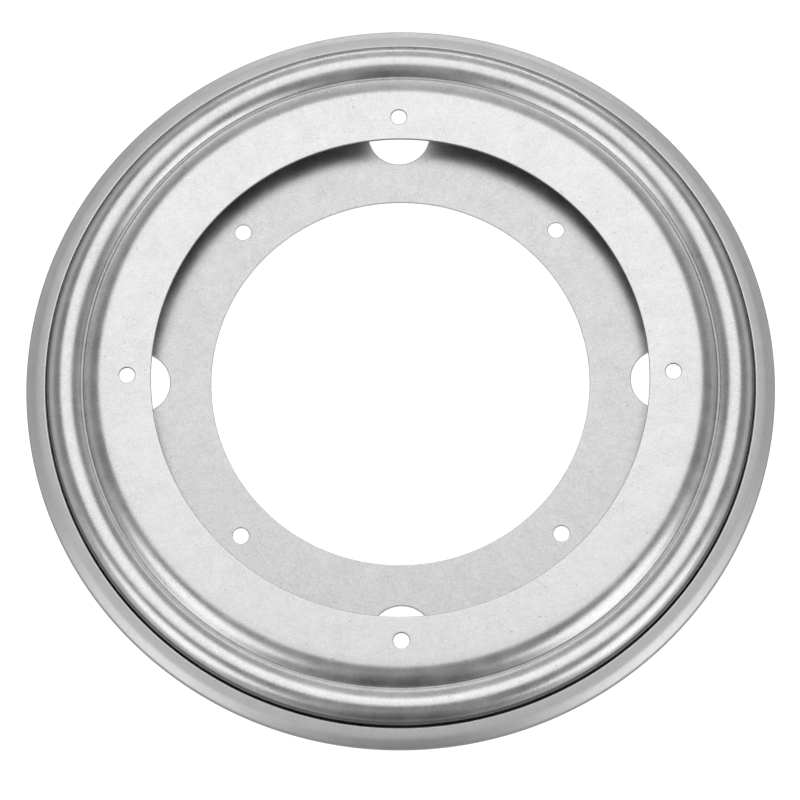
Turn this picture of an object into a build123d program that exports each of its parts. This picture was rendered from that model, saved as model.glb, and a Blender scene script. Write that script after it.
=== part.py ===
"""Round lazy susan bearing: two stamped steel plates that turn on a ring of balls.

Units are millimetres, +Z is up. The origin is on the turning axis, on the face that the bearing rests on.
"""
import os
from math import acos, cos, degrees, radians, sin, tan

from build123d import *

# Plates, with the widths of their flat rings between the opening and the raceway
outer_diameter = 304.8
sheet = 1.2
base_width = 43.4
top_width = 19.6

# Screw holes, and the access holes that let a screwdriver reach the upper plate's screws
screw_hole_diameter = 6.5
screw_hole_count = 4
lower_screw_margin = 14.2
upper_screw_margin = 9.7
access_hole_diameter = 25.0
access_margin = 1.55

# Balls and their retainer
ball_diameter = 8.731
ball_count = 36
race_clearance = 0.18
pocket_clearance = 0.15
retainer_height = 3.0
retainer_wall = 0.6
wall_clearance = 0.6
groove_clearance = 2.34

# Raceway pressed into both plates: slopes, widths along the radius, and bends of the sheet's middle line
ramp_width = 8.54
ramp_slope = 38.0
ramp_bend = 10.49
groove_bend = 2.1
crest_slope = 40.7
shoulder_slope = 56.0
shoulder_bend = 1.2
lip_height = 0.9
lip_bend = 2.0

# Rolled rim of the lower plate, and the hooked edge of the upper plate that it holds down
rim_width = 8.2
rim_slope = 30.0
rim_bend = 1.4
rim_knee_bend = 5.4
rim_edge_width = 3.5
rim_edge_slope = 14.0
corner_bend = 0.9
rim_gap = 0.6
hook_overlap = 3.0
hook_bend = 1.6
lift_play = 0.6

# Half the sheet lies on each side of its middle line
half_sheet = sheet / 2

# The rim's top line, from the outside in: a bend, a steep part, a knee, and a flatter part to the edge
outer_radius = outer_diameter / 2
steep = radians(rim_slope)
flatter = radians(rim_edge_slope)
rim_bend_width = (rim_bend + half_sheet) * (1 - sin(steep))
rim_knee_width = (rim_knee_bend + half_sheet) * (sin(steep) - sin(flatter))
rim_slope_width = rim_width - rim_bend_width - rim_knee_width - rim_edge_width
rim_bend_rise = (rim_bend + half_sheet) * cos(steep)
rim_knee_rise = (rim_knee_bend + half_sheet) * (cos(flatter) - cos(steep))
rim_straight_rise = rim_slope_width * tan(steep) + rim_edge_width * tan(flatter)
rim_edge_height = corner_bend + half_sheet + rim_bend_rise + rim_knee_rise + rim_straight_rise
rim_edge_radius = outer_radius - rim_width
rim_inner_edge_radius = rim_edge_radius - sheet * sin(flatter)

# Circles of the raceway, inwards from the rim's free edge, with room for the balls and their retainer
pocket_radius = ball_diameter / 2 + pocket_clearance
retainer_half_width = pocket_radius + retainer_wall
shoulder_width = retainer_half_width + wall_clearance + half_sheet
groove_offset = retainer_half_width + groove_clearance
wall_radius = rim_inner_edge_radius - rim_gap - half_sheet
race_radius = wall_radius - shoulder_width
groove_radius = race_radius - groove_offset
flat_radius = groove_radius - ramp_width

# Openings and hole circles: the screws by their opening, the access holes below the upper screws
lower_opening_radius = flat_radius - base_width
upper_opening_radius = flat_radius - top_width
lower_screw_radius = lower_opening_radius + lower_screw_margin
upper_screw_radius = upper_opening_radius + upper_screw_margin
access_radius = flat_radius - access_margin - access_hole_diameter / 2

# Raceway of both plates: a ramp down from the flat, a groove, and a crest over the balls just below the flat
ramp_radii = ramp_bend + groove_bend
crest_radii = groove_offset / sin(radians(crest_slope))
crest_inner_bend = crest_radii - groove_bend
crest_outer_bend = shoulder_bend + (shoulder_width - shoulder_bend) / sin(radians(shoulder_slope))
ramp_straight = (ramp_width - ramp_radii * sin(radians(ramp_slope))) / cos(radians(ramp_slope))
groove_depth = ramp_radii * (1 - cos(radians(ramp_slope))) + ramp_straight * sin(radians(ramp_slope))
crest_drop = groove_depth - crest_radii * (1 - cos(radians(crest_slope)))

# Heights
ball_height = crest_drop + sheet + race_clearance + ball_diameter / 2
total_height = 2 * ball_height
lower_middle = half_sheet
upper_middle = total_height - half_sheet

# The lip outside the lower plate's ball trough, which goes down to the floor under the hook
lip_rise_radii = crest_outer_bend + lip_bend
lip_rise_tilt = degrees(acos(1 - lip_height / lip_rise_radii))
lip_fall_radii = 2 * lip_bend
lip_fall_tilt = degrees(acos(1 - (lip_height + crest_drop) / lip_fall_radii))
lip_end_radius = (
    race_radius + lip_rise_radii * sin(radians(lip_rise_tilt)) + lip_fall_radii * sin(radians(lip_fall_tilt))
)

# The hook under the rim's flatter part
hook_end_radius = rim_edge_radius + hook_overlap
rim_underside = rim_edge_height - hook_overlap * tan(flatter) - sheet / cos(flatter)
hook_middle = rim_underside - lift_play - half_sheet
shoulder_drop = crest_outer_bend - (crest_outer_bend - shoulder_bend) * cos(radians(shoulder_slope))
wall_top = upper_middle - crest_drop - shoulder_drop


def sheet_section(start, runs):
    """Closed section of a bent sheet, as a face of (radius, height).

    The middle line sets out from start along the radius. A run is (length, 0) for a straight,
    or (bend radius, turn) for a bend, with the turn in degrees and positive upwards.
    """
    point = Vector(*start)
    heading = 0
    upper_edges = []
    lower_edges = []
    for size, turn in runs:
        if turn == 0:
            across = Vector(0, half_sheet).rotate(Axis.Z, heading)
            end = point + Vector(size, 0).rotate(Axis.Z, heading)
            upper_edges.append(Line(point + across, end + across))
            lower_edges.append(Line(point - across, end - across))
        else:
            side = 1 if turn > 0 else -1
            to_centre = Vector(0, side * size).rotate(Axis.Z, heading)
            centre = point + to_centre
            first_angle = heading - side * 90
            upper_edges.append(CenterArc(centre, size - side * half_sheet, first_angle, turn))
            lower_edges.append(CenterArc(centre, size + side * half_sheet, first_angle, turn))
            end = centre - to_centre.rotate(Axis.Z, turn)
            heading += turn
        point = end
    first_cut = Line(lower_edges[0] @ 0, upper_edges[0] @ 0)
    last_cut = Line(lower_edges[-1] @ 1, upper_edges[-1] @ 1)
    return make_face([*upper_edges, *lower_edges, first_cut, last_cut])


def turned_sheet(section):
    """The sheet's section carried once round the axis."""
    return revolve(Plane.XZ * section, Axis.Z)


def punches(circle_radius, diameter, start_angle):
    """Round punches, evenly spaced on a circle and long enough to pass through either plate."""
    return [
        place * Cylinder(diameter / 2, 4 * total_height)
        for place in PolarLocations(circle_radius, screw_hole_count, start_angle)
    ]


def make_lower_plate():
    """Flat base, ridge, ball trough, lip and floor, and the rim rolled in over the upper plate's hook."""
    floor_radius = outer_radius - half_sheet - corner_bend
    section = sheet_section(
        (lower_opening_radius, lower_middle),
        [
            (base_width, 0),
            (ramp_bend, ramp_slope),
            (ramp_straight, 0),
            (groove_bend, -ramp_slope - crest_slope),
            (crest_inner_bend, crest_slope),
            (crest_outer_bend, lip_rise_tilt),
            (lip_bend, -lip_rise_tilt - lip_fall_tilt),
            (lip_bend, lip_fall_tilt),
            (floor_radius - lip_end_radius, 0),
            (corner_bend, 90),
            (rim_bend, 90 - rim_slope),
            (rim_slope_width / cos(steep), 0),
            (rim_knee_bend, rim_slope - rim_edge_slope),
            (rim_edge_width / cos(flatter), 0),
        ],
    )
    plate = turned_sheet(section)
    plate -= punches(lower_screw_radius, screw_hole_diameter, 180 / screw_hole_count)
    plate -= punches(access_radius, access_hole_diameter, 0)
    return plate


def make_upper_plate():
    """Flat top, groove, ball crest and outer wall, and the hook that stays under the rim."""
    section = sheet_section(
        (upper_opening_radius, upper_middle),
        [
            (top_width, 0),
            (ramp_bend, -ramp_slope),
            (ramp_straight, 0),
            (groove_bend, ramp_slope + crest_slope),
            (crest_inner_bend, -crest_slope),
            (crest_outer_bend, -shoulder_slope),
            (shoulder_bend, shoulder_slope - 90),
            (wall_top - hook_middle - hook_bend, 0),
            (hook_bend, 90),
            (hook_end_radius - wall_radius - hook_bend, 0),
        ],
    )
    plate = turned_sheet(section)
    plate -= punches(upper_screw_radius, screw_hole_diameter, 0)
    return plate


def make_retainer(ball_places):
    """Flat moulded ring at the balls' middle height, with a round pocket that snaps over each ball."""
    ring = Cylinder(race_radius + retainer_half_width, retainer_height)
    ring -= Cylinder(race_radius - retainer_half_width, 2 * retainer_height)
    pockets = [place * Sphere(pocket_radius) for place in ball_places]
    return Pos(0, 0, ball_height) * ring - pockets


ball_ring = PolarLocations(race_radius, ball_count)
ball_places = [Pos(0, 0, ball_height) * place for place in ball_ring]

parts = {
    "lower_plate": make_lower_plate(),
    "upper_plate": make_upper_plate(),
    "ball_retainer": make_retainer(ball_places),
}
for number, place in enumerate(ball_places, start=1):
    parts[f"ball_{number:02d}"] = place * Sphere(ball_diameter / 2)

os.makedirs("parts", exist_ok=True)
for name, solid in parts.items():
    export_step(solid, f"parts/{name}.step")
    print(name, round(solid.volume, 1))
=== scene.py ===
# %% [markdown]
# A lazy susan bearing is two stamped steel plates that turn on a ring of balls.
# The CAD model already holds every piece at its true size, so it is loaded first as a fixed frame.
# Everything below is built around that frame, in metres, and nothing in it is moved.

# %% Load the frame
import math

import bmesh
import bpy
import numpy as np
from mathutils import Matrix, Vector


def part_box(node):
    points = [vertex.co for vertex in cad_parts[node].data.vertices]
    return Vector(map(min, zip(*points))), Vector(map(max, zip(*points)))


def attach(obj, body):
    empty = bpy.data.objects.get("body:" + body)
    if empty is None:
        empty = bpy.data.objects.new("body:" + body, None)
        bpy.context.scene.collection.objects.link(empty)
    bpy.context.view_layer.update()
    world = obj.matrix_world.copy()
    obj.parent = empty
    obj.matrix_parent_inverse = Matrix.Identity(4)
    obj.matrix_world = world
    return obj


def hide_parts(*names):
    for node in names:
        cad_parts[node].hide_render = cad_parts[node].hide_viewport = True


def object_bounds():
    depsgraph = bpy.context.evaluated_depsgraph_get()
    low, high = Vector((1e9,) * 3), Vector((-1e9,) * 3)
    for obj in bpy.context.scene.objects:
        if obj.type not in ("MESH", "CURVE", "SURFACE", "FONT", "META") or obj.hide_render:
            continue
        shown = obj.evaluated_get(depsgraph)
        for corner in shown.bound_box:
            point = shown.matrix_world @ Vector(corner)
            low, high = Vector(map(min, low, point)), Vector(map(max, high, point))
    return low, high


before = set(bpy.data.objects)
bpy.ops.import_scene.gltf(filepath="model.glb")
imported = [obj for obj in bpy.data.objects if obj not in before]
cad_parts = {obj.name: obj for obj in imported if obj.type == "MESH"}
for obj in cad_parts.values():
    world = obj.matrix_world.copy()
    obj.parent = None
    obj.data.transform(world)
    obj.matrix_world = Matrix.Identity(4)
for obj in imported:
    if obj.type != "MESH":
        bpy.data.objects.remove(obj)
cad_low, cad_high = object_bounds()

print("CAD box, mm:", [round(1000 * side, 2) for side in cad_high - cad_low])

# %% [markdown]
# Both plates are pressed from the same sheet and share one raceway: a ramp down from the flat, a groove,
# a crest over the balls and a shoulder. It is given as a press tool maker would draw it, by widths, slopes
# and bends of the sheet's middle line. The sizes are in millimetres and become metres in the mesh.
# The height, the outer radius and the circle of the balls are read from the frame.

# %% Sizes of the sheet and the raceway
MM = 0.001
SHEET = 1.2
HALF_SHEET = SHEET / 2
RAMP_WIDTH = 8.54
RAMP_SLOPE = 38.0
RAMP_BEND = 10.49
GROOVE_OFFSET = 7.4555
GROOVE_BEND = 2.1
CREST_SLOPE = 40.7
SHOULDER_WIDTH = 6.3155
SHOULDER_SLOPE = 56.0
SHOULDER_BEND = 1.2

ball_low, ball_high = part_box("ball_01")
TOTAL_HEIGHT = cad_high.z / MM
OUTER_RADIUS = min(cad_high.x, cad_high.y, -cad_low.x, -cad_low.y) / MM
RACE_RADIUS = 0.5 * (ball_low.x + ball_high.x) / MM
GROOVE_RADIUS = RACE_RADIUS - GROOVE_OFFSET
FLAT_RADIUS = GROOVE_RADIUS - RAMP_WIDTH
WALL_RADIUS = RACE_RADIUS + SHOULDER_WIDTH
print("race, groove and flat radius, mm:", [round(r, 2) for r in (RACE_RADIUS, GROOVE_RADIUS, FLAT_RADIUS)])

# %% [markdown]
# Two opposite bends of the same slope carry the sheet from one level to another. Together they take up
# (both bend radii) * sin(slope) of the width and (both bend radii) * (1 - cos(slope)) of the depth.
# A straight between them takes up what is left of the width.

# %% Lengths and bends that follow
ramp_slope = math.radians(RAMP_SLOPE)
crest_slope = math.radians(CREST_SLOPE)
shoulder_slope = math.radians(SHOULDER_SLOPE)
ramp_bends = RAMP_BEND + GROOVE_BEND
ramp_straight = (RAMP_WIDTH - ramp_bends * math.sin(ramp_slope)) / math.cos(ramp_slope)
ramp_depth = ramp_bends * (1 - math.cos(ramp_slope)) + ramp_straight * math.sin(ramp_slope)
crest_bends = GROOVE_OFFSET / math.sin(crest_slope)
crest_drop = ramp_depth - crest_bends * (1 - math.cos(crest_slope))
crest_inner_bend = crest_bends - GROOVE_BEND
crest_outer_bend = SHOULDER_BEND + (SHOULDER_WIDTH - SHOULDER_BEND) / math.sin(shoulder_slope)
print("groove and crest below the flat, mm:", round(ramp_depth, 3), round(crest_drop, 3))

# %% [markdown]
# A bent sheet has two faces that stay half the sheet away from its middle line.
# One function walks along the middle line, as a press brake would bend it, and returns both faces.

# %% The section of a bent sheet
BEND_STEP = 5.0


def bent_sheet(start, runs):
    """Upper and lower face of a bent sheet as arrays of (radius, height).

    A run is (length, 0) for a straight or (bend radius, turn in degrees, positive upwards). On a bend the
    middle line is centre - r * n, where n is the sheet's normal at the heading so far; each face is the
    middle line plus or minus half the sheet along n.
    """
    point = np.array(start, float)
    heading = 0.0
    middles, normals = [], []
    for size, turn in runs:
        steps = max(2, math.ceil(abs(turn) / BEND_STEP) + 1)
        share = np.linspace(0, 1, steps)
        angles = heading + share * math.radians(turn)
        normal = np.stack((-np.sin(angles), np.cos(angles)), axis=1)
        if turn:
            middle = point + math.copysign(size, turn) * (normal[0] - normal)
        else:
            middle = point + np.outer(share * size, (math.cos(heading), math.sin(heading)))
        first = 1 if middles else 0
        middles.append(middle[first:])
        normals.append(normal[first:])
        point, heading = middle[-1], angles[-1]
    middle, normal = np.concatenate(middles), np.concatenate(normals)
    return middle + HALF_SHEET * normal, middle - HALF_SHEET * normal


print("points across the ramp's upper bend:", len(bent_sheet((0, 0), [(RAMP_BEND, -RAMP_SLOPE)])[0]))

# %% [markdown]
# A sheared edge isn't knife sharp. Rounding its two corners by a fraction of a millimetre gives each edge
# the thin line of light that the eye expects there.

# %% Rounded edges
EDGE_ROUNDING = 0.28
CORNER_POINTS = 4


def rounded_edge(upper_end, lower_end, rounding):
    """Path round a free edge, from the upper face's end to the lower face's: two quarter circles and a cut.

    The corners stand out from the ends by the rounding, along the sheet.
    """
    across = (upper_end - lower_end) / np.linalg.norm(upper_end - lower_end)
    along = np.array((across[1], -across[0]))
    angle = np.radians(np.linspace(0, 90, CORNER_POINTS))[:, None]
    upper = upper_end + rounding * (along * np.sin(angle) - across * (1 - np.cos(angle)))
    lower = lower_end + rounding * (along * np.cos(angle) + across * (1 - np.sin(angle)))
    return np.concatenate((upper, lower))


# %% [markdown]
# A plate is its section turned about the axis, so its surface is a grid: angle by place along the section.
# The flat rings have round holes, so their grids leave out a block of cells round each hole.

# %% Grids for turned surfaces and punched flats
TURN_STEPS = 376


def grid_faces(rows, columns):
    """Quads of a grid of points numbered row by row, with the last column joined to the first."""
    row, column = np.meshgrid(np.arange(rows - 1), np.arange(columns), indexing="ij")
    beside = (column + 1) % columns
    corners = (
        row * columns + column,
        row * columns + beside,
        (row + 1) * columns + beside,
        (row + 1) * columns + column,
    )
    return np.stack(corners, axis=-1).reshape(-1, 4)


def turned(path):
    """A path of (radius, height) turned about Z: (r cos a, r sin a, z) for every angle a."""
    angle = np.linspace(0, 2 * math.pi, TURN_STEPS, endpoint=False)
    radius, height = path[:, :1], path[:, 1:]
    points = np.stack((radius * np.cos(angle), radius * np.sin(angle), height + 0 * angle), axis=-1)
    return points.reshape(-1, 3), grid_faces(len(path), TURN_STEPS)


def punched_flat(rings, height, holes):
    """A flat ring at one height, as a polar grid without the cells that the holes' blocks take."""
    points, faces = turned(np.column_stack((rings, np.full(len(rings), height))))
    ring, step = np.divmod(np.arange(len(faces)), TURN_STEPS)
    kept = np.ones(len(faces), bool)
    for hole in holes:
        from_hole = (step - hole["first_step"]) % TURN_STEPS
        kept &= ~((from_hole < hole["steps"]) & (ring >= hole["inner"]) & (ring < hole["outer"]))
    return points, faces[kept]


print("degrees from one column of a grid to the next:", round(360 / TURN_STEPS, 3))

# %% [markdown]
# Each hole gets a grid of its own. It starts on the border of its block, closes in to the hole, goes down
# the wall and comes back out underneath. A Boolean cut would work as well, but it leaves long thin triangles
# that show up as streaks in a reflection.

# %% Grids for holes
HOLE_COUNT = 4
COLLAR_SHARE = 0.3
COLLAR_REACH = 1.0


def ring_of_holes(circle_radius, hole_radius, first_angle, half_steps, inner, outer):
    """Holes evenly spaced on a circle, each with the block of grid cells that it takes the place of."""
    spacing = TURN_STEPS // HOLE_COUNT
    steps = round(first_angle / 360 * TURN_STEPS) + spacing * np.arange(HOLE_COUNT)
    angles = 2 * math.pi * steps / TURN_STEPS
    centres = circle_radius * np.stack((np.cos(angles), np.sin(angles)), axis=1)
    block = {"radius": hole_radius, "steps": 2 * half_steps, "inner": inner, "outer": outer}
    places = zip(centres, steps - half_steps)
    return [{"centre": centre, "first_step": first_step, **block} for centre, first_step in places]


def block_border(rings, hole):
    """Points on the border of a hole's block, once round: (x, y) on the polar grid's own lines."""
    step = hole["first_step"] + np.arange(hole["steps"] + 1)
    ring = np.arange(hole["inner"], hole["outer"] + 1)
    sides = (
        (ring[0] + 0 * step[:-1], step[:-1]),
        (ring[:-1], step[-1] + 0 * ring[:-1]),
        (ring[-1] + 0 * step[:0:-1], step[:0:-1]),
        (ring[:0:-1], step[0] + 0 * ring[:0:-1]),
    )
    ring, step = (np.concatenate(part) for part in zip(*sides))
    angle = 2 * math.pi * (step % TURN_STEPS) / TURN_STEPS
    return np.stack((rings[ring] * np.cos(angle), rings[ring] * np.sin(angle)), axis=1)


def punched_hole(rings, hole, low, high):
    """Surface through one hole: the ray from each border point to the hole's centre carries a rounded edge.

    Along the ray the distance goes from the border's to the hole's radius, by way of a narrow collar that
    keeps the flat flat; then the height goes down the wall, and the distance goes back out underneath.
    """
    rays = block_border(rings, hole) - hole["centre"]
    distance = np.linalg.norm(rays, axis=1)
    rays /= distance[:, None]
    rim = hole["radius"] + EDGE_ROUNDING
    edge = rounded_edge(np.array((-rim, high)), np.array((-rim, low)), EDGE_ROUNDING)
    wall = -edge[:, :1] + 0 * distance
    collar = rim + COLLAR_SHARE * np.minimum(COLLAR_REACH, distance - rim)
    halfway = 0.5 * (distance + rim)
    reach = np.concatenate(([distance, halfway, collar], wall, [collar, halfway, distance]))
    height = np.concatenate(([high] * 3, edge[:, 1], [low] * 3))
    place = hole["centre"] + reach[..., None] * rays
    points = np.concatenate((place, np.broadcast_to(height[:, None, None], (*reach.shape, 1))), axis=-1)
    return points.reshape(-1, 3), grid_faces(len(reach), len(rays))


# %% [markdown]
# A plate is put together from its grids. Where two grids meet they have the same points, so merging these
# closes the mesh, and the count of open edges shows whether it really is closed.

# %% From grids to a plate
SAME_POINT = 1e-6


def plate_grids(opening_radius, low, high, rings, holes, faces, edge_rounding):
    """All grids of a plate: its raceway side, the opening's rounded edge, two punched flats and the holes."""
    upper, lower = faces
    raceway = np.concatenate((upper, rounded_edge(upper[-1], lower[-1], edge_rounding), lower[::-1]))
    moved_on = np.linalg.norm(np.diff(raceway, axis=0), axis=1) > SAME_POINT
    raceway = raceway[np.r_[True, moved_on]]
    start = opening_radius + EDGE_ROUNDING
    edge = rounded_edge(np.array((-start, high)), np.array((-start, low)), EDGE_ROUNDING) * (-1, 1)
    flats = [punched_flat(rings, height, holes) for height in (high, low)]
    return [turned(raceway), turned(edge), *flats, *(punched_hole(rings, hole, low, high) for hole in holes)]


def plate_mesh(name, grids):
    """One closed mesh from grids in millimetres: shared borders are merged and the faces turned outwards."""
    counts = np.cumsum([0] + [len(points) for points, _ in grids])
    points = np.concatenate([points for points, _ in grids]) * MM
    faces = np.concatenate([faces + count for (_, faces), count in zip(grids, counts)])
    mesh = bpy.data.meshes.new(name)
    mesh.from_pydata(points.tolist(), [], faces.tolist())
    shape = bmesh.new()
    shape.from_mesh(mesh)
    bmesh.ops.remove_doubles(shape, verts=shape.verts, dist=SAME_POINT)
    bmesh.ops.recalc_face_normals(shape, faces=shape.faces)
    open_edges = sum(not edge.is_manifold for edge in shape.edges)
    shape.to_mesh(mesh)
    shape.free()
    mesh.shade_smooth()
    piece = bpy.data.objects.new(name, mesh)
    bpy.context.scene.collection.objects.link(piece)
    triangles = sum(len(face.vertices) - 2 for face in mesh.polygons)
    print(name, "triangles:", triangles, "open edges:", open_edges)
    return piece


# %% [markdown]
# The upper plate: a flat top with four screw holes, a groove that stiffens it, a crest over the balls,
# and a wall that goes down inside the rim and ends in a hook below it.
# The rings of its flat's grid are chosen so that each hole sits in a block of even cells.

# %% Upper plate
SCREW_HOLE_RADIUS = 3.25
TOP_WIDTH = 19.6
UPPER_SCREW_MARGIN = 9.7
HOOK_END_RADIUS = 147.2
HOOK_MIDDLE = 2.7876
HOOK_BEND = 1.6
UPPER_OPENING_RADIUS = FLAT_RADIUS - TOP_WIDTH
UPPER_SCREW_RADIUS = UPPER_OPENING_RADIUS + UPPER_SCREW_MARGIN
UPPER_MIDDLE = TOTAL_HEIGHT - HALF_SHEET

upper_rings = np.concatenate((
    UPPER_OPENING_RADIUS + EDGE_ROUNDING * np.array((1, 2)),
    [103.0],
    np.linspace(105.5, 115.5, 9),
    [117.4, FLAT_RADIUS],
))
upper_holes = ring_of_holes(UPPER_SCREW_RADIUS, SCREW_HOLE_RADIUS, 0, half_steps=4, inner=3, outer=11)
shoulder_drop = crest_outer_bend - (crest_outer_bend - SHOULDER_BEND) * math.cos(shoulder_slope)
wall_top = UPPER_MIDDLE - crest_drop - shoulder_drop
upper_faces = bent_sheet(
    (FLAT_RADIUS, UPPER_MIDDLE),
    [
        (RAMP_BEND, -RAMP_SLOPE),
        (ramp_straight, 0),
        (GROOVE_BEND, RAMP_SLOPE + CREST_SLOPE),
        (crest_inner_bend, -CREST_SLOPE),
        (crest_outer_bend, -SHOULDER_SLOPE),
        (SHOULDER_BEND, SHOULDER_SLOPE - 90),
        (wall_top - HOOK_MIDDLE - HOOK_BEND, 0),
        (HOOK_BEND, 90),
        (HOOK_END_RADIUS - WALL_RADIUS - HOOK_BEND - EDGE_ROUNDING, 0),
    ],
)
upper_grids = plate_grids(
    UPPER_OPENING_RADIUS,
    TOTAL_HEIGHT - SHEET,
    TOTAL_HEIGHT,
    upper_rings,
    upper_holes,
    upper_faces,
    EDGE_ROUNDING,
)
upper_plate = plate_mesh("upper_plate_sheet", upper_grids)
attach(upper_plate, "upper_plate")
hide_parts("upper_plate")

# %% [markdown]
# The lower plate has the same raceway upside down. Outside the ball trough a low lip keeps the balls in,
# and then the sheet lies on the floor, turns up at the corner and is rolled in over the upper plate's hook.
# The rolled rim is a bend, a steep part, a knee and a flatter part.

# %% Lip and rim of the lower plate
LIP_HEIGHT = 0.9
LIP_BEND = 2.0
CORNER_BEND = 0.9
RIM_WIDTH = 8.2
RIM_SLOPE = 30.0
RIM_BEND = 1.4
RIM_KNEE_BEND = 5.4
RIM_EDGE_WIDTH = 3.5
RIM_EDGE_SLOPE = 14.0
RIM_EDGE_ROUNDING = 0.6

lip_rise_bends = crest_outer_bend + LIP_BEND
lip_fall_bends = 2 * LIP_BEND
lip_rise_tilt = math.acos(1 - LIP_HEIGHT / lip_rise_bends)
lip_fall_tilt = math.acos(1 - (LIP_HEIGHT + crest_drop) / lip_fall_bends)
lip_width = lip_rise_bends * math.sin(lip_rise_tilt) + lip_fall_bends * math.sin(lip_fall_tilt)
lip_end_radius = RACE_RADIUS + lip_width
floor_end_radius = OUTER_RADIUS - HALF_SHEET - CORNER_BEND
rim_slope = math.radians(RIM_SLOPE)
rim_edge_slope = math.radians(RIM_EDGE_SLOPE)
rim_bend_width = (RIM_BEND + HALF_SHEET) * (1 - math.sin(rim_slope))
rim_knee_width = (RIM_KNEE_BEND + HALF_SHEET) * (math.sin(rim_slope) - math.sin(rim_edge_slope))
rim_steep_width = RIM_WIDTH - rim_bend_width - rim_knee_width - RIM_EDGE_WIDTH
print("flat floor from and to radius, mm:", round(lip_end_radius, 2), round(floor_end_radius, 2))

# %% [markdown]
# Inside the raceway, the lower plate is a wide flat base with four screw holes, and four large holes through
# which a screwdriver reaches the upper plate's screws.

# %% Lower plate
BASE_WIDTH = 43.4
LOWER_SCREW_MARGIN = 14.2
ACCESS_HOLE_RADIUS = 12.5
ACCESS_MARGIN = 1.55
LOWER_OPENING_RADIUS = FLAT_RADIUS - BASE_WIDTH
LOWER_SCREW_RADIUS = LOWER_OPENING_RADIUS + LOWER_SCREW_MARGIN
ACCESS_RADIUS = FLAT_RADIUS - ACCESS_MARGIN - ACCESS_HOLE_RADIUS

lower_rings = np.concatenate((
    LOWER_OPENING_RADIUS + EDGE_ROUNDING * np.array((1, 2)),
    [81.0],
    np.linspace(86.6, 95.8, 8),
    np.linspace(98.4, FLAT_RADIUS, 9),
))
lower_holes = [
    *ring_of_holes(LOWER_SCREW_RADIUS, SCREW_HOLE_RADIUS, 45, half_steps=4, inner=3, outer=10),
    *ring_of_holes(ACCESS_RADIUS, ACCESS_HOLE_RADIUS, 0, half_steps=9, inner=7, outer=19),
]
lower_faces = bent_sheet(
    (FLAT_RADIUS, HALF_SHEET),
    [
        (RAMP_BEND, RAMP_SLOPE),
        (ramp_straight, 0),
        (GROOVE_BEND, -RAMP_SLOPE - CREST_SLOPE),
        (crest_inner_bend, CREST_SLOPE),
        (crest_outer_bend, math.degrees(lip_rise_tilt)),
        (LIP_BEND, -math.degrees(lip_rise_tilt + lip_fall_tilt)),
        (LIP_BEND, math.degrees(lip_fall_tilt)),
        (floor_end_radius - lip_end_radius, 0),
        (CORNER_BEND, 90),
        (RIM_BEND, 90 - RIM_SLOPE),
        (rim_steep_width / math.cos(rim_slope), 0),
        (RIM_KNEE_BEND, RIM_SLOPE - RIM_EDGE_SLOPE),
        (RIM_EDGE_WIDTH / math.cos(rim_edge_slope) - RIM_EDGE_ROUNDING, 0),
    ],
)
lower_grids = plate_grids(
    LOWER_OPENING_RADIUS,
    0.0,
    SHEET,
    lower_rings,
    lower_holes,
    lower_faces,
    RIM_EDGE_ROUNDING,
)
lower_plate = plate_mesh("lower_plate_sheet", lower_grids)
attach(lower_plate, "lower_plate")
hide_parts("lower_plate")

# %% [markdown]
# Every material below is a few nodes. One function adds a node, sets its options and joins its inputs,
# and one turns the sRGB hex colours of a paint chart into the linear values that Blender works with.

# %% Helpers for materials


def linear(hex_colour):
    """sRGB hex to linear RGBA: c / 12.92 near black, ((c + 0.055) / 1.055)^2.4 above."""
    c = np.array([int(hex_colour[i:i + 2], 16) for i in (1, 3, 5)]) / 255
    return (*np.where(c <= 0.04045, c / 12.92, ((c + 0.055) / 1.055) ** 2.4), 1.0)


def add(tree, kind, inputs=None, **options):
    """Adds one node: options are its settings, inputs its sockets' values or the outputs that feed them."""
    made = tree.nodes.new(kind)
    for option, value in options.items():
        setattr(made, option, value)
    for socket, value in (inputs or {}).items():
        if isinstance(value, bpy.types.NodeSocket):
            tree.links.new(value, made.inputs[socket])
        else:
            made.inputs[socket].default_value = value
    return made


def new_material(name):
    """A node material that is empty but for its output node."""
    material = bpy.data.materials.new(name)
    material.use_nodes = True
    material.node_tree.nodes.clear()
    return material, material.node_tree, add(material.node_tree, "ShaderNodeOutputMaterial")


def scale_of(size_mm):
    """Noise scale on Object coordinates, in metres, for features of this size in millimetres."""
    return 1 / (size_mm * MM)


print("middle grey as linear light:", round(float(linear("#808080")[0]), 3))

# %% [markdown]
# Galvanised sheet is steel with a thin coat of zinc. After the bath it is rolled lightly, which crushes the
# zinc flowers and leaves a matte grey face with a fine even grain, faint clouds and a few dark pin specks.
# Noises of three sizes, each with its own share, move the colour between a light and a dark grey.

# %% Zinc coat
GRAIN_MM = 0.45  # the real grain is about 0.2 mm, finer than a pixel of the picture, so it is drawn coarser
MOTTLE_MM = 2.2
CLOUD_MM = 9.0
SPECK_MM = 1.5
CLOUD_SHARE = 0.65
MOTTLE_SHARE = 0.35
GRAIN_SHARE = 1.05
TONE_SHIFT = -0.49
SPECKS_FROM, SPECKS_FULL = 0.81, 0.87
SPECK_SHARE = 0.34
SPECK_GREY = "#7C7C7C"


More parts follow.
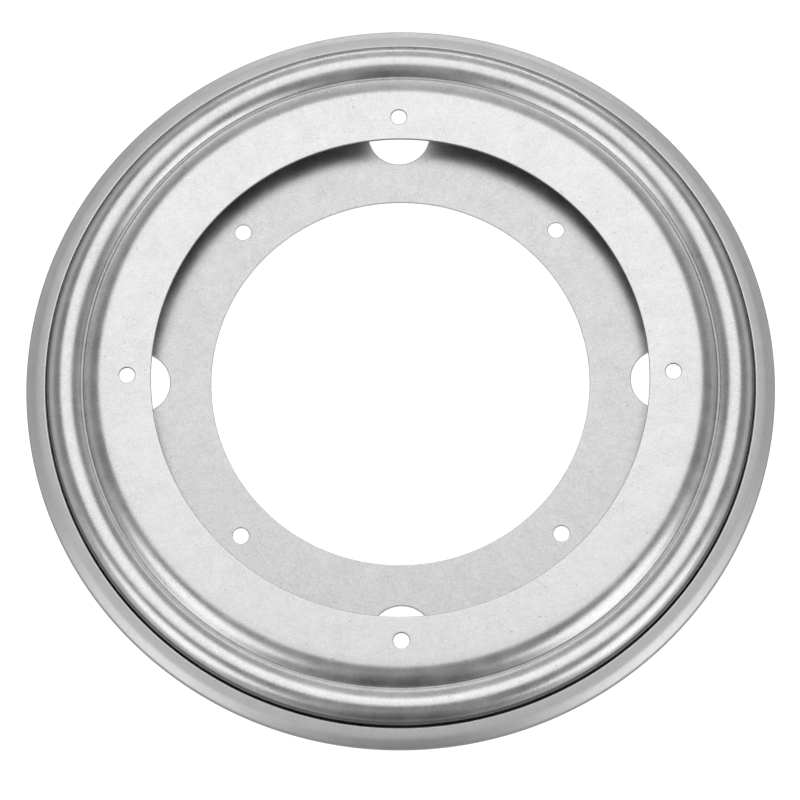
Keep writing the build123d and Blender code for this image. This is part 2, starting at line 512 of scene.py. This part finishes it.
def zinc_coat(tree, place, light, dark):
    """Colour of the coat, with its cloud and grain noises: tone = shift + the sum of share * noise."""
    noises = []
    for size, detail in ((CLOUD_MM, 3.0), (MOTTLE_MM, 2.0), (GRAIN_MM, 1.0), (SPECK_MM, 0.0)):
        pattern = {"Vector": place, "Scale": scale_of(size), "Detail": detail}
        noises.append(add(tree, "ShaderNodeTexNoise", pattern).outputs["Fac"])
    cloud, mottle, grain, speck = noises
    tone = TONE_SHIFT
    for noise, share in ((cloud, CLOUD_SHARE), (mottle, MOTTLE_SHARE), (grain, GRAIN_SHARE)):
        tone = add(tree, "ShaderNodeMath", {0: noise, 1: share, 2: tone}, operation="MULTIPLY_ADD").outputs[0]
    greys = {"Factor": tone, "A": linear(dark), "B": linear(light)}
    zinc = add(tree, "ShaderNodeMix", greys, data_type="RGBA").outputs["Result"]
    pins = {"Value": speck, "From Min": SPECKS_FROM, "From Max": SPECKS_FULL, "To Max": SPECK_SHARE}
    pins = add(tree, "ShaderNodeMapRange", pins).outputs["Result"]
    specked = {"Factor": pins, "A": zinc, "B": linear(SPECK_GREY)}
    return add(tree, "ShaderNodeMix", specked, data_type="RGBA").outputs["Result"], cloud, grain


# %% [markdown]
# Where the press sheared the sheet, at the openings and the holes, the edge is duller and rougher than the
# coat; on the upper plate its darker grey is also painted shade, the thin dark line along these edges.
# These edges could be painted face by face. The shader finds them by their slope instead, because inside the
# raceway nothing else on the plates is steep.

# %% Sheared edges
SHEARED_WITHIN = 119.0
SHEARED_FROM, SHEARED_FULL = 0.97, 0.75
SHEARED_ROUGHNESS = 0.55


def sheared_edges(tree, radius):
    """Mask of the cut faces inside the raceway: it rises from 0 to 1 as the normal's upward part falls."""
    normal = add(tree, "ShaderNodeNewGeometry").outputs["Normal"]
    upward = add(tree, "ShaderNodeSeparateXYZ", {"Vector": normal}).outputs["Z"]
    upward = add(tree, "ShaderNodeMath", {0: upward}, operation="ABSOLUTE").outputs[0]
    slope = {"Value": upward, "From Min": SHEARED_FROM, "From Max": SHEARED_FULL}
    steep = add(tree, "ShaderNodeMapRange", slope).outputs["Result"]
    inside = {0: radius, 1: SHEARED_WITHIN * MM}
    inside = add(tree, "ShaderNodeMath", inside, operation="LESS_THAN").outputs[0]
    return add(tree, "ShaderNodeMath", {0: steep, 1: inside}, operation="MULTIPLY").outputs[0]


# %% [markdown]
# Shade falls in the crease at the bottom of the groove and on the bend at the mouth of the slot, and there it
# is painted into the colour. Both are thin rings of painted shade, so one function mixes a dark grey in near
# a radius.

# %% Painted shade in the groove and at the slot
# Radius of the ring of painted shade on the bend at the mouth of the slot
SLOT_MOUTH = 142.9
# Share of the painted shade in the crease at the bottom of the groove
GROOVE_SHADE_SHARE = 0.42


def painted_shade_ring(tree, zinc, radius, ring, core, edge, share, grey):
    """The coat's colour with a ring of painted shade: full within core mm of the ring and gone beyond edge
    mm.
    """
    off_ring = add(tree, "ShaderNodeMath", {0: radius, 1: -ring * MM}, operation="ADD").outputs[0]
    off_ring = add(tree, "ShaderNodeMath", {0: off_ring}, operation="ABSOLUTE").outputs[0]
    fade = {"Value": off_ring, "From Min": core * MM, "From Max": edge * MM, "To Min": share, "To Max": 0.0}
    ring_shade = add(tree, "ShaderNodeMapRange", fade).outputs["Result"]
    greys = {"Factor": ring_shade, "A": zinc, "B": linear(grey)}
    return add(tree, "ShaderNodeMix", greys, data_type="RGBA").outputs["Result"]


# %% [markdown]
# The rolling tool leaves the rim brighter but rougher than the rest, with short scuffs across it.
# Its flatter inner part is the roughest. The scuffs are a noise on the direction from the axis alone,
# so that they run straight out across the rim.

# %% Rolled rim
SCUFF_MM = 1.2
SCUFF_SHARE = 0.08
RIM_EDGE_START = 143.6
RIM_EDGE_FADE = 0.2
RIM_BRIGHT_SHARE = 0.55
RIM_FACE_START = 144.9
RIM_FACE_FADE = 0.3
RIM_STEEP_START = 146.8
RIM_STEEP_FADE = 2.8
RIM_FLATTER_ROUGHNESS = 0.52
RIM_STEEP_ROUGHNESS = 0.39


def rolled_rim(tree, zinc, rough, radius, outward):
    """Colour and roughness of the sheet with those of the rim mixed in by radius."""
    edge = {
        "Value": radius, "To Max": RIM_BRIGHT_SHARE,
        "From Min": RIM_EDGE_START * MM, "From Max": (RIM_EDGE_START + RIM_EDGE_FADE) * MM,
    }
    bright = add(tree, "ShaderNodeMapRange", edge).outputs["Result"]
    burnished = {"Factor": bright, "A": zinc, "B": linear("#FFFFFF")}
    zinc = add(tree, "ShaderNodeMix", burnished, data_type="RGBA").outputs["Result"]

    around = add(tree, "ShaderNodeVectorMath", {0: outward}, operation="NORMALIZE").outputs["Vector"]
    strokes = {"Vector": around, "Scale": RIM_FACE_START / SCUFF_MM, "Detail": 2.0}
    scuff = add(tree, "ShaderNodeTexNoise", strokes).outputs["Fac"]
    knee = {
        "Value": radius, "To Min": RIM_FLATTER_ROUGHNESS, "To Max": RIM_STEEP_ROUGHNESS,
        "From Min": RIM_STEEP_START * MM, "From Max": (RIM_STEEP_START + RIM_STEEP_FADE) * MM,
    }
    rolled = add(tree, "ShaderNodeMapRange", knee).outputs["Result"]
    rolled = {0: scuff, 1: SCUFF_SHARE, 2: rolled}
    rolled = add(tree, "ShaderNodeMath", rolled, operation="MULTIPLY_ADD").outputs[0]
    face = {
        "Value": radius,
        "From Min": (RIM_FACE_START - RIM_FACE_FADE) * MM, "From Max": RIM_FACE_START * MM,
    }
    face = add(tree, "ShaderNodeMapRange", face).outputs["Result"]
    return zinc, add(tree, "ShaderNodeMix", {"Factor": face, "A": rough, "B": rolled}).outputs["Result"]


print("scuffs round the rim:", round(2 * math.pi * RIM_FACE_START / SCUFF_MM))

# %% [markdown]
# The finished sheet is a metal whose roughness blurs what it mirrors, so that the eye sees broad soft bands
# of light on the bends. The clouds vary the roughness a little, and the grain is also a fine bump.
# The lower plate's coat is a little darker than the upper one's, and it gets no painted shade at the slot.

# %% Galvanised sheet
CLOUDY_FROM, CLOUDY_FULL = 0.3, 0.7
CLOUDY_ROUGHNESS = 0.03
GRAIN_BUMP = 0.12
GRAIN_HEIGHT_MM = 0.1


def galvanised_sheet(name, light, dark, cut_grey, roughness, slot_shade_share):
    """Zinc coat between a light and a dark grey, with sheared edges in cut_grey, and painted shade in the
    groove and at the slot.
    """
    material, tree, output = new_material(name)
    place = add(tree, "ShaderNodeTexCoord").outputs["Object"]
    outward = {0: place, 1: (1.0, 1.0, 0.0)}
    outward = add(tree, "ShaderNodeVectorMath", outward, operation="MULTIPLY").outputs["Vector"]
    radius = add(tree, "ShaderNodeVectorMath", {0: outward}, operation="LENGTH").outputs["Value"]
    zinc, cloud, grain = zinc_coat(tree, place, light, dark)
    cut = sheared_edges(tree, radius)
    # Cut edges are duller bare steel, and on the upper plate their darker grey is also painted shade along
    # the openings and holes
    bare_and_shaded_edge = {"Factor": cut, "A": zinc, "B": linear(cut_grey)}
    zinc = add(tree, "ShaderNodeMix", bare_and_shaded_edge, data_type="RGBA").outputs["Result"]
    # Thin rings of painted shade: in the groove's crease, and on the bend at the slot's mouth
    groove_shade_ring = {"core": 0.3, "edge": 1.1, "share": GROOVE_SHADE_SHARE, "grey": "#4C4C4C"}
    slot_shade_ring = {"core": 0.2, "edge": 0.6, "share": slot_shade_share, "grey": "#303030"}
    zinc = painted_shade_ring(tree, zinc, radius, GROOVE_RADIUS, **groove_shade_ring)
    zinc = painted_shade_ring(tree, zinc, radius, SLOT_MOUTH, **slot_shade_ring)
    cloudy = {
        "Value": cloud, "From Min": CLOUDY_FROM, "From Max": CLOUDY_FULL,
        "To Min": roughness - CLOUDY_ROUGHNESS, "To Max": roughness + CLOUDY_ROUGHNESS,
    }
    rough = add(tree, "ShaderNodeMapRange", cloudy).outputs["Result"]
    zinc, rough = rolled_rim(tree, zinc, rough, radius, outward)
    rough = add(tree, "ShaderNodeMix", {"Factor": cut, "A": rough, "B": SHEARED_ROUGHNESS}).outputs["Result"]
    relief = {"Height": grain, "Strength": GRAIN_BUMP, "Distance": GRAIN_HEIGHT_MM * MM}
    bump = add(tree, "ShaderNodeBump", relief).outputs["Normal"]
    metal = {"Base Color": zinc, "Metallic": 1.0, "Roughness": rough, "Normal": bump}
    shader = add(tree, "ShaderNodeBsdfPrincipled", metal).outputs["BSDF"]
    tree.links.new(shader, output.inputs["Surface"])
    return material


# The upper plate gets painted shade at the slot's mouth, and the lower plate gets none
upper_zinc = galvanised_sheet(
    "galvanised_steel_upper", light="#FFFFFF", dark="#C8C8C8", cut_grey="#A4A4A4", roughness=0.29, slot_shade_share=0.65
)
lower_zinc = galvanised_sheet(
    "galvanised_steel_lower", light="#F2F2F2", dark="#BABABA", cut_grey="#D4D4D4", roughness=0.31, slot_shade_share=0.0
)
upper_plate.data.materials.append(upper_zinc)
lower_plate.data.materials.append(lower_zinc)
print("nodes in each plate's finish:", len(upper_zinc.node_tree.nodes), len(lower_zinc.node_tree.nodes))

# %% [markdown]
# The balls are hardened bearing steel, ground and polished, so they mirror sharply but for faint smears of
# oil. Their retainer is moulded nylon in its natural cream colour, with a slight flow pattern and a satin
# skin. Both are hidden between the plates, and their CAD shapes are already right, so they only get a finish.

# %% Balls and retainer
SMEAR_MM = 3.0
FLOW_MM = 6.0
SKIN_MM = 0.5
SKIN_BUMP = 0.1
SKIN_HEIGHT_MM = 0.1


def bearing_steel():
    """Polished steel whose roughness follows the smears of oil."""
    material, tree, output = new_material("bearing_steel_polished")
    place = add(tree, "ShaderNodeTexCoord").outputs["Object"]
    smear = {"Vector": place, "Scale": scale_of(SMEAR_MM), "Detail": 4.0}
    smear = add(tree, "ShaderNodeTexNoise", smear).outputs["Fac"]
    oily = {"Value": smear, "From Min": 0.35, "From Max": 0.7, "To Min": 0.06, "To Max": 0.2}
    rough = add(tree, "ShaderNodeMapRange", oily).outputs["Result"]
    metal = {"Base Color": linear("#C9C9CB"), "Metallic": 1.0, "Roughness": rough}
    shader = add(tree, "ShaderNodeBsdfPrincipled", metal).outputs["BSDF"]
    tree.links.new(shader, output.inputs["Surface"])
    return material


def natural_nylon():
    """Cream nylon, tinted by the flow of the melt, with a fine moulded skin as a bump."""
    material, tree, output = new_material("nylon_moulded_natural")
    place = add(tree, "ShaderNodeTexCoord").outputs["Object"]
    flow = {"Vector": place, "Scale": scale_of(FLOW_MM), "Detail": 3.0}
    flow = add(tree, "ShaderNodeTexNoise", flow).outputs["Fac"]
    creams = {"Factor": flow, "A": linear("#D8D2C0"), "B": linear("#E6E1D2")}
    tint = add(tree, "ShaderNodeMix", creams, data_type="RGBA").outputs["Result"]
    skin = {"Vector": place, "Scale": scale_of(SKIN_MM), "Detail": 2.0}
    skin = add(tree, "ShaderNodeTexNoise", skin).outputs["Fac"]
    relief = {"Height": skin, "Strength": SKIN_BUMP, "Distance": SKIN_HEIGHT_MM * MM}
    bump = add(tree, "ShaderNodeBump", relief).outputs["Normal"]
    plastic = {"Base Color": tint, "Roughness": 0.45, "IOR": 1.53, "Normal": bump}
    shader = add(tree, "ShaderNodeBsdfPrincipled", plastic).outputs["BSDF"]
    tree.links.new(shader, output.inputs["Surface"])
    return material


ball_steel, nylon = bearing_steel(), natural_nylon()
rolling = {name: node for name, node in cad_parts.items() if name.startswith("ball_")}
for name, node in rolling.items():
    node.data.materials.clear()
    node.data.materials.append(nylon if name == "ball_retainer" else ball_steel)
print("balls:", len(rolling) - 1)

# %% [markdown]
# The photograph is a studio shot on white. The floor is a matte sheet of paper that also glows for the
# camera, so that it reads as white without more light on the bearing. In reflections it glows inside the
# opening, where the paper lies in full light, and hardly at all outside, so that no bright ring shows on
# the plates' outer slopes.

# %% Floor
FLOOR_SIZE = 4.0
FLOOR_BELOW = 0.0002
GLOW_FOR_CAMERA = 0.95
GLOW_INSIDE = 0.9
GLOW_OUTSIDE = 0.06
GLOW_INSIDE_END, GLOW_OUTSIDE_START = 0.12, 0.13


def white_sweep():
    """Matte paper plus a glow that depends on the ray: its camera share, and a share in mirrors by radius."""
    material, tree, output = new_material("white_paper_sweep")
    rays = add(tree, "ShaderNodeLightPath").outputs
    matte = add(tree, "ShaderNodeBsdfDiffuse", {"Color": linear("#B0B0B0")}).outputs["BSDF"]
    place = add(tree, "ShaderNodeTexCoord").outputs["Object"]
    radius = add(tree, "ShaderNodeVectorMath", {0: place}, operation="LENGTH").outputs["Value"]
    reach = {
        "Value": radius, "From Min": GLOW_INSIDE_END, "From Max": GLOW_OUTSIDE_START,
        "To Min": GLOW_INSIDE, "To Max": GLOW_OUTSIDE,
    }
    reach = add(tree, "ShaderNodeMapRange", reach).outputs["Result"]
    mirrored = {0: rays["Is Glossy Ray"], 1: rays["Is Transmission Ray"]}
    mirrored = add(tree, "ShaderNodeMath", mirrored, operation="ADD").outputs[0]
    mirrored = add(tree, "ShaderNodeMath", {0: mirrored, 1: reach}, operation="MULTIPLY").outputs[0]
    seen = {0: rays["Is Camera Ray"], 1: GLOW_FOR_CAMERA, 2: mirrored}
    seen = add(tree, "ShaderNodeMath", seen, operation="MULTIPLY_ADD").outputs[0]
    glow = add(tree, "ShaderNodeEmission", {"Color": linear("#FFFFFF"), "Strength": seen}).outputs["Emission"]
    both = add(tree, "ShaderNodeAddShader", {0: matte, 1: glow}).outputs["Shader"]
    tree.links.new(both, output.inputs["Surface"])
    return material


floor_corners = 0.5 * FLOOR_SIZE * np.array(((-1, -1, 0), (1, -1, 0), (1, 1, 0), (-1, 1, 0)))
floor_corners -= (0, 0, FLOOR_BELOW)
floor_mesh = bpy.data.meshes.new("floor")
floor_mesh.from_pydata(floor_corners.tolist(), [], [(0, 1, 2, 3)])
floor_mesh.materials.append(white_sweep())
floor = bpy.data.objects.new("floor", floor_mesh)
bpy.context.scene.collection.objects.link(floor)
print("floor's side, m:", FLOOR_SIZE)

# %% [markdown]
# What a metal looks like is mostly what it mirrors. The reflections in the photograph show a large softbox
# overhead, a little behind the bearing, one at each front side, and a bright strip low at the back.
# Each lamp is placed by the direction that it shows in: how far that leans from the zenith, to the right and
# to the back. A mirror shows a lamp as bright as its power / (pi * area), so the power follows from that.

# %% Lamps
LAMP_DISTANCE = 1.3


def direction_of(sideways, backwards):
    """Unit vector that leans from the zenith by these two angles in degrees."""
    lean = math.radians(math.hypot(sideways, backwards))
    turn = math.atan2(backwards, sideways)
    return np.array((math.sin(lean) * math.cos(turn), math.sin(lean) * math.sin(turn), math.cos(lean)))


def turned_to(right, back):
    """Rotation of a lamp or camera from its right and backward directions; up is back x right."""
    return Matrix(np.stack((right, np.cross(back, right), back), axis=1).tolist()).to_quaternion()


def softbox(name, sideways, backwards, width, height, radiance):
    """An area lamp aimed at the bearing, of this width and height in metres."""
    back = direction_of(sideways, backwards)
    # A high lamp has its upper side to the back, and a low one has it upwards
    upper_side = (0.0, 1.0, 0.0) if back[2] > 0.5 else (0.0, 0.0, 1.0)
    right = np.cross(upper_side, back)
    data = bpy.data.lights.new(name, "AREA")
    data.shape = "RECTANGLE"
    data.size = width
    data.size_y = height
    data.energy = radiance * math.pi * width * height
    lamp = bpy.data.objects.new(name, data)
    lamp.location = LAMP_DISTANCE * back
    lamp.rotation_mode = "QUATERNION"
    lamp.rotation_quaternion = turned_to(right / np.linalg.norm(right), back)
    bpy.context.scene.collection.objects.link(lamp)
    print(name, "power, W:", round(data.energy, 2))


softbox("overhead_softbox", sideways=0, backwards=20.5, width=1.26, height=0.92, radiance=0.9)
softbox("left_softbox", sideways=-41, backwards=-31, width=0.76, height=0.76, radiance=1.12)
softbox("right_softbox", sideways=45, backwards=-33, width=0.8, height=0.8, radiance=1.16)
softbox("back_strip", sideways=4, backwards=86, width=1.2, height=0.12, radiance=2.0)

# %% [markdown]
# The room around the lamps is dim, brighter towards the horizon, and darkest low at the front. A picture of
# a real room would do as well. A few soft patches, each placed like a lamp, need no image at all.
# For the camera itself the room is plain white, like the floor.

# %% Room
ROOM_RADIANCE = 0.192
ROOM_HORIZON = 0.288
HORIZON_FROM, HORIZON_FULL = 50, 80
ROOM_DARKEST = 0.064
# A patch is (sideways, backwards, outer and inner half angle, extra radiance), with angles in degrees
ROOM_PATCHES = (
    (0, 47, 28, 8, 0.24),
    (-8, -26, 18, 6, 0.096),
    (0, -40, 10, 3, -0.24),
    (0, -75, 28, 10, -0.36),
)

world = bpy.data.worlds.new("dim_room")
bpy.context.scene.world = world
world.use_nodes = True
room = world.node_tree
room.nodes.clear()
looking = add(room, "ShaderNodeTexCoord").outputs["Generated"]
skyward = add(room, "ShaderNodeSeparateXYZ", {"Vector": looking}).outputs["Z"]
horizon = {
    "Value": skyward, "To Min": ROOM_RADIANCE, "To Max": ROOM_RADIANCE + ROOM_HORIZON,
    "From Min": math.cos(math.radians(HORIZON_FROM)), "From Max": math.cos(math.radians(HORIZON_FULL)),
}
radiance = add(room, "ShaderNodeMapRange", horizon, interpolation_type="SMOOTHSTEP").outputs["Result"]
for sideways, backwards, outer, inner, extra in ROOM_PATCHES:
    towards = {0: looking, 1: direction_of(sideways, backwards)}
    towards = add(room, "ShaderNodeVectorMath", towards, operation="DOT_PRODUCT").outputs["Value"]
    patch = {
        "Value": towards, "To Max": extra,
        "From Min": math.cos(math.radians(outer)), "From Max": math.cos(math.radians(inner)),
    }
    patch = add(room, "ShaderNodeMapRange", patch, interpolation_type="SMOOTHSTEP").outputs["Result"]
    radiance = add(room, "ShaderNodeMath", {0: patch, 1: radiance}, operation="ADD").outputs[0]
seen_by_camera = add(room, "ShaderNodeLightPath").outputs["Is Camera Ray"]
for at_least in (ROOM_DARKEST, seen_by_camera):
    radiance = add(room, "ShaderNodeMath", {0: radiance, 1: at_least}, operation="MAXIMUM").outputs[0]
background = add(room, "ShaderNodeBackground", {"Color": linear("#FFFFFF"), "Strength": radiance})
add(room, "ShaderNodeOutputWorld", {"Surface": background.outputs["Background"]})
print("patches in the room:", len(ROOM_PATCHES))

# %% [markdown]
# The camera looks down steeply through a long lens. Its height, turn, roll and framing were worked out from
# the holes and the round edges, which show as ellipses in the photograph.
# It is aimed so that the bearing's axis falls on the right spot of the picture.

# %% Camera
IMAGE_SIDE = 800
SENSOR_WIDTH = 36.0
PIXELS_PER_MM = 2.4535
CAMERA_DISTANCE = 1450.0
CAMERA_ELEVATION = 73.37
CAMERA_AZIMUTH = -1.53
CAMERA_ROLL = -1.88
AXIS_PIXEL = np.array((400.35, 381.95))

elevation, azimuth, roll = np.radians((CAMERA_ELEVATION, CAMERA_AZIMUTH, CAMERA_ROLL))
level_view = np.array((math.sin(azimuth), math.cos(azimuth), 0.0))
forward = math.cos(elevation) * level_view - math.sin(elevation) * np.array((0.0, 0.0, 1.0))
level = np.array((math.cos(azimuth), -math.sin(azimuth), 0.0))
right = math.cos(roll) * level + math.sin(roll) * np.cross(level, forward)
upward = np.cross(right, forward)
spot = -CAMERA_DISTANCE * forward
off_centre = (IMAGE_SIDE / 2 - AXIS_PIXEL) / PIXELS_PER_MM
aim = off_centre[0] * right - off_centre[1] * upward
back = (spot - aim) / np.linalg.norm(spot - aim)
right = right - back * (right @ back)

camera_data = bpy.data.cameras.new("camera")
camera_data.sensor_width = SENSOR_WIDTH
camera_data.lens = SENSOR_WIDTH * PIXELS_PER_MM * CAMERA_DISTANCE / IMAGE_SIDE
camera = bpy.data.objects.new("camera", camera_data)
camera.location = spot * MM
camera.rotation_mode = "QUATERNION"
camera.rotation_quaternion = turned_to(right / np.linalg.norm(right), back)
bpy.context.scene.collection.objects.link(camera)
bpy.context.scene.camera = camera
bpy.context.scene.view_settings.view_transform = "Standard"
print("lens, mm:", round(camera_data.lens, 1))
